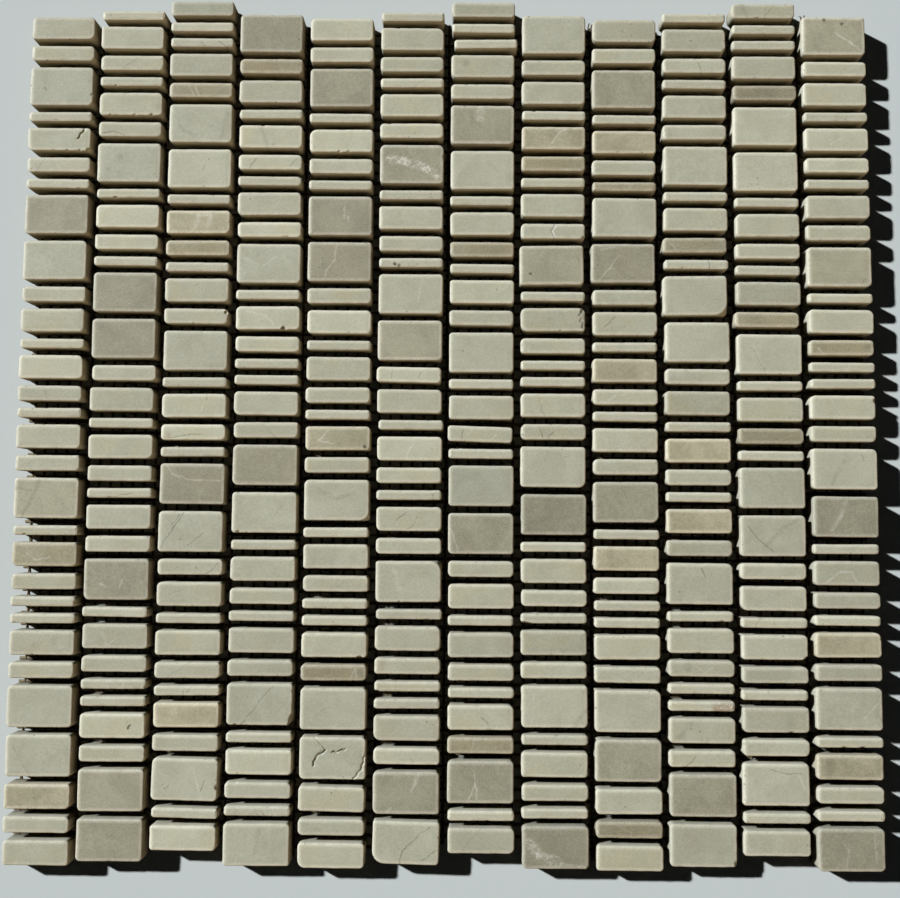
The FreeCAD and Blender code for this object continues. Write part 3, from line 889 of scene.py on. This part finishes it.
# Ends of yarn that stick out past the cut at the sheet's upper end: the four
# points that pull each one's curve, in millimetres
LOOSE_ENDS = [
    [(128, 146.6), (128.9, 149.4), (129.8, 149.2), (131, 152.1)],
    [(128, 146.6), (130.4, 149.2), (130.4, 152.8), (128.7, 151.7)],
    [(52, 145.2), (51, 146.5), (51, 147.2), (51.6, 148.7)],
    [(52, 145.2), (52, 146.2), (52.2, 147.2), (52.6, 148.3)],
]
LOOSE_STEPS = 12
LOOSE_RISE = 0.9


def boxes_of(node):
    """Lowest and highest corner of each solid of a node, in millimetres."""
    return np.array([[points.min(axis=0), points.max(axis=0)] for points in solids_of(node)])


def tubes(path, side, half_width, half_thickness, sides):
    """Points of closed tubes along paths.

    Round each point of a path stand the points of an ellipse, with its long
    half axis along side and its short one upright.
    """
    angle = np.arange(sides) / sides * 2 * np.pi
    up = np.array([0, 0, 1])
    ring = np.cos(angle)[:, None] * np.array(side) * half_width
    ring = ring + np.sin(angle)[:, None] * up * half_thickness
    return path[:, :, None, :] + ring


def add_yarns(name, node, batches, material):
    """The piece that stands for a layer of the net, from batches of tubes of one length each."""
    points, quads, caps, fibres = [], [], [], []
    start = 0
    for number, batch in enumerate(batches):
        count, rings, around = batch.shape[:3]
        sides, ends = ring_faces(count, rings, around)
        points.append(batch.reshape(-1, 3))
        quads.append(sides + start)
        caps.append(ends + start)
        along = np.broadcast_to(np.arange(rings)[None, :, None] * 0.6, batch.shape[:3])
        round_it = np.broadcast_to(np.arange(around)[None, None, :] * 2.4, batch.shape[:3])
        strand = np.broadcast_to(np.arange(count)[:, None, None] * 7.3 + number, batch.shape[:3])
        fibres.append(np.stack([along, round_it, strand], axis=-1).reshape(-1, 3))
        start += batch[..., 0].size
    faces = [np.concatenate(quads), np.concatenate(caps)]
    piece = add_mesh(name, np.concatenate(points) / 1000, faces)
    add_attribute(piece, "fibre", "FLOAT_VECTOR", np.concatenate(fibres))
    piece.data.materials.append(material)
    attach(piece, "root")
    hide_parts(node)


lengthwise = boxes_of("net_lengthwise_strands")
crosswise = boxes_of("net_crosswise_strands")
net_middle = (lengthwise[:, 0, 2].min() + crosswise[:, 1, 2].max()) / 2
crossing = crosswise[:, :, 1].mean(axis=1)
net_pitch = np.median(np.diff(np.unique(crossing.round(2))))


def twisted_pairs(strands):
    """Tubes of the lengthwise yarns, two to a strand.

    A yarn's path is a helix that makes half a turn from one crosswise yarn to
    the next: it is over one and under the next. Its partner is half a turn on.
    """
    half_pitch = net_pitch / 2
    low, high = strands[:, 0, 1] + CUT_END, strands[:, 1, 1] - CUT_END
    first = np.ceil((low - crossing.min()) / half_pitch)
    count = np.floor((high - crossing.min()) / half_pitch) - first + 1
    batches = []
    for steps in np.unique(count):
        which = count == steps
        inner = crossing.min() + (first[which][:, None] + np.arange(steps)) * half_pitch
        y = np.concatenate([strands[which, :1, 1], inner, strands[which, 1:, 1]], axis=1)
        x = strands[which][:, :, 0].mean(axis=1)[:, None]
        turn = (y - crossing.min()) / net_pitch * np.pi
        for partner in (0, np.pi):
            across = x + TWIST_ACROSS * np.sin(turn + partner)
            height = net_middle + TWIST_UP * np.cos(turn + partner)
            path = np.stack([across, y, height], axis=-1)
            batches.append(tubes(path, (1, 0, 0), YARN_HALF_WIDTH, YARN_HALF_THICKNESS, 4))
    return batches


def flat_yarns(strands):
    """Tubes of the crosswise yarns: straight, but for a slow sine up and down."""
    steps = int(round(np.median(strands[:, 1, 0] - strands[:, 0, 0]) / net_pitch))
    share = np.linspace(0, 1, steps + 1)
    x = strands[:, :1, 0] + (strands[:, 1:, 0] - strands[:, :1, 0]) * share
    y = strands[:, :, 1].mean(axis=1)[:, None] + 0 * x
    inner = np.clip(np.minimum(share, 1 - share) * 20, 0, 1)
    height = net_middle + 0 * x + 0.01 * inner * np.sin(0.9 * x)
    path = np.stack([x, y, height], axis=-1)
    return [tubes(path, (0, 1, 0), RIBBON_HALF_WIDTH, RIBBON_HALF_THICKNESS, 6)]


def loose_ends():
    """Tubes of the ends of yarn that stick out: cubic curves that lift off the floor to their tips."""
    share = np.linspace(0, 1, LOOSE_STEPS)[:, None]
    rest = 1 - share
    pulls = [rest ** 3, 3 * share * rest ** 2, 3 * share ** 2 * rest, share ** 3]
    batches = []
    for points in LOOSE_ENDS:
        flat = sum(pull * np.array(point) for pull, point in zip(pulls, points))
        path = np.concatenate([flat, net_middle + LOOSE_RISE * share ** 3], axis=1)[None]
        batches.append(tubes(path, (1, 0, 0), YARN_HALF_WIDTH, YARN_HALF_THICKNESS, 4))
    return batches


# The yarn colours are dark brown: partly the resin coat and partly painted shade, as the net lies down in
# the dark joints.
DARK_SHADED_GLASS = (0.12, 0.09, 0.045, 1)
LIGHTER_SHADED_GLASS = (0.25, 0.195, 0.11, 1)
RESIN = (0.08, 0.057, 0.03, 1)
net_material, net_shader, net_start = new_material("glass_net_with_shade")
fibre = attribute_of(net_start, "fibre")
strands_seen = fibre.noise(1.3, 3, 0.6)
resin = net_start.make("ShaderNodeTexCoord", {}, {}, 3).noise(160, 3, 0.6).between(0.4, 0.7)
net_colour_and_shade = strands_seen.mixed(DARK_SHADED_GLASS, LIGHTER_SHADED_GLASS)
net_colour_and_shade = (resin * 0.6).mixed(net_colour_and_shade, RESIN)
net_inputs = {"Strength": 0.5, "Distance": 0.00006, "Height": strands_seen}
net_relief = net_start.make("ShaderNodeBump", {}, net_inputs)
net_start.tree.links.new(net_colour_and_shade.socket, net_shader.inputs["Base Color"])
net_start.tree.links.new(net_relief.socket, net_shader.inputs["Normal"])
net_start.tree.links.new((0.6 - resin * 0.2).socket, net_shader.inputs["Roughness"])

lengthwise_yarns = twisted_pairs(lengthwise) + loose_ends()
add_yarns("net_twisted_yarns", "net_lengthwise_strands", lengthwise_yarns, net_material)
add_yarns("net_flat_yarns", "net_crosswise_strands", flat_yarns(crosswise), net_material)

# Floor
# A plain pale surface under the sheet.

FLOOR_HALF = 3.0
FLOOR_COLOUR = (0.645, 0.68, 0.665, 1)
floor_material, floor_shader, floor_start = new_material("pale_floor")
floor_shader.inputs["Base Color"].default_value = FLOOR_COLOUR
floor_shader.inputs["Specular IOR Level"].default_value = 0.1
floor_shader.inputs["Roughness"].default_value = 0.8
floor_corners = np.array([[-1, -1, 0], [1, -1, 0], [1, 1, 0], [-1, 1, 0]]) * FLOOR_HALF
floor = add_mesh("floor", floor_corners, [np.array([[0, 1, 2, 3]])])
floor.data.materials.append(floor_material)

# Light
# Sun-like light from the upper left, with clear shadows, a soft warm light from
# the lower right, and a little even light from all round. A colour that faces up
# renders about as written. The soft light falls on the stones alone: it stands
# for the light that marble lets through, which makes the upper part of their
# shaded sides glow brown. The larger part of the key light isn't passed on from
# one stone to the next, which keeps the joints dark.

KEY_LEVEL = 0.97
KEY_COLOUR = np.array([1.0, 0.985, 0.95])
WARM_SHARE = 0.15
WARM_COLOUR = np.array([1.0, 0.8, 0.5])
GLOW_SHARE = 0.17
GLOW_COLOUR = np.array([1.0, 0.76, 0.48])
FILL_LEVEL = 0.009
BACKGROUND_LEVEL = 0.8
KEY_FALL = Vector((11.8, -6.25, -9.5)).normalized()
GLOW_FALL = Vector((-0.36, 0.93, -0.84)).normalized()


def add_sun(name, fall, width, share, colour, bounces):
    """A lamp far off, of a width in degrees, that gives its share of the light on an upward face."""
    lamp = bpy.data.lights.new(name, "SUN")
    lamp.angle = np.radians(width)
    lamp.energy = KEY_LEVEL * share * np.pi / -fall.z
    lamp.color = colour
    lamp.cycles.max_bounces = bounces
    sun = bpy.data.objects.new(name, lamp)
    bpy.context.scene.collection.objects.link(sun)
    sun.rotation_euler = fall.to_track_quat("-Z", "Y").to_euler()
    return sun


add_sun("warm_key", KEY_FALL, 2.5, WARM_SHARE, WARM_COLOUR, 4)
glow = add_sun("glow", GLOW_FALL, 40, GLOW_SHARE, GLOW_COLOUR, 0)
cool_share = 1 - WARM_SHARE - GLOW_SHARE
cool_colour = (KEY_COLOUR - WARM_SHARE * WARM_COLOUR - GLOW_SHARE * GLOW_COLOUR) / cool_share
add_sun("key", KEY_FALL, 2.5, cool_share, cool_colour, 0)
stones = bpy.data.collections.new("stones")
for piece in bpy.context.scene.objects:
    if piece.name.endswith("_stone"):
        stones.objects.link(piece)
glow.light_linking.receiver_collection = stones

world = bpy.data.worlds.new("studio")
world.use_nodes = True
background = world.node_tree.nodes["Background"]
background.inputs["Color"].default_value = (0.93, 0.97, 1.0, 1)
light_path = world.node_tree.nodes.new("ShaderNodeLightPath")
seen = Field(world.node_tree, light_path.outputs["Is Camera Ray"])
level = seen * (BACKGROUND_LEVEL - FILL_LEVEL) + FILL_LEVEL
world.node_tree.links.new(level.socket, background.inputs["Strength"])
bpy.context.scene.world = world
bpy.context.scene.view_settings.view_transform = "Standard"

# Camera
# It looks down on the sheet from just right of and below its middle.

PHOTO_WIDTH = 900
FOCAL_PIXELS = 1232
SHIFT_RIGHT_PIXELS = -12.3
SHIFT_UP_PIXELS = -40.4
SENSOR_WIDTH = 36
CAMERA_PLACE = (0.00883, -0.03498, 0.44146)
CAMERA_TURN = (5.257, 0.353, 0.435)
camera_data = bpy.data.cameras.new("camera")
camera_data.sensor_width = SENSOR_WIDTH
camera_data.lens = SENSOR_WIDTH * FOCAL_PIXELS / PHOTO_WIDTH
camera_data.shift_x = SHIFT_RIGHT_PIXELS / PHOTO_WIDTH
camera_data.shift_y = SHIFT_UP_PIXELS / PHOTO_WIDTH
camera = bpy.data.objects.new("camera", camera_data)
bpy.context.scene.collection.objects.link(camera)
camera.location = CAMERA_PLACE
camera.rotation_euler = np.radians(CAMERA_TURN)
bpy.context.scene.camera = camera
